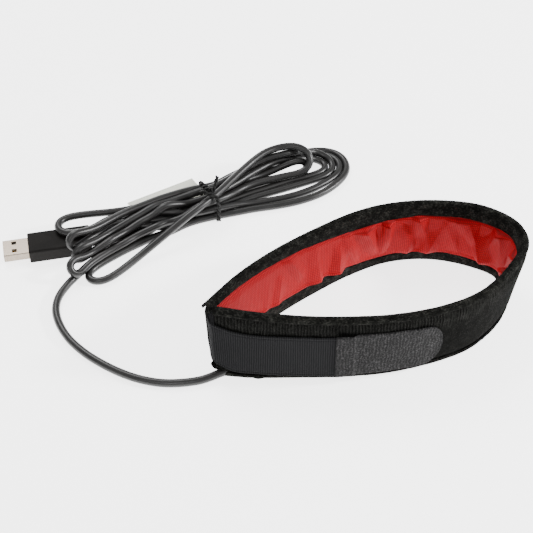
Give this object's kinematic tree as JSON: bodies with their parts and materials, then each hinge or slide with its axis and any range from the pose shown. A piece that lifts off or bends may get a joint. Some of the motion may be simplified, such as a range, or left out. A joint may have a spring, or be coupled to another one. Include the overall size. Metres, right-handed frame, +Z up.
{
  "type": "telescope dew heater strip",
  "caption": "Soft heater strip standing as a closed loop: black loop pile outside, red lining inside, bound edges, elastic strap with hook tab, and a cable tied in a hank with a plug.",
  "frame": {"origin": "on the surface the strip stands on, under the middle of the strip's own bounding box", "axes": "+X along the loop, from its sharp end to its round end; -Y towards the strap; +Z up"},
  "size_m": [0.2422, 0.1737, 0.038],
  "materials": {
    "loop_pile": "black loop pile, matt and fuzzy",
    "foam": "grey padding",
    "lining": "red woven nylon, slightly shiny",
    "binding": "black napped tape",
    "elastic": "dark grey ribbed elastic",
    "hook_tape": "dark grey hook tape",
    "heating_wire": "insulated wire",
    "lead_red": "insulated wire",
    "lead_black": "insulated wire",
    "sleeve": "plain crimp",
    "cable": "soft black jacket with a satin sheen",
    "tie": "black coated wire",
    "label": "bare off-white film",
    "grip": "moulded black, finely grained",
    "shell": "pale plated metal",
    "tongue": "white moulded",
    "contact": "gold plated"
  },
  "bodies": {
    "root": {"outer_fabric": "loop_pile", "foam_core": "foam", "lining": "lining", "top_binding": "binding", "bottom_binding": "binding", "elastic_strap": "elastic", "hook_tab": "hook_tape", "heating_wire": "heating_wire", "lead_wire_a": "lead_red", "lead_wire_b": "lead_black", "crimp_sleeve_a": "sleeve", "crimp_sleeve_b": "sleeve", "cable_lead": "cable", "cable_hank": "cable", "twist_tie": "tie", "cable_label": "label", "usb_grip": "grip", "usb_shell": "shell", "usb_tongue": "tongue", "usb_contact_1": "contact", "usb_contact_2": "contact", "usb_contact_3": "contact", "usb_contact_4": "contact"}
  },
  "joints": []
}
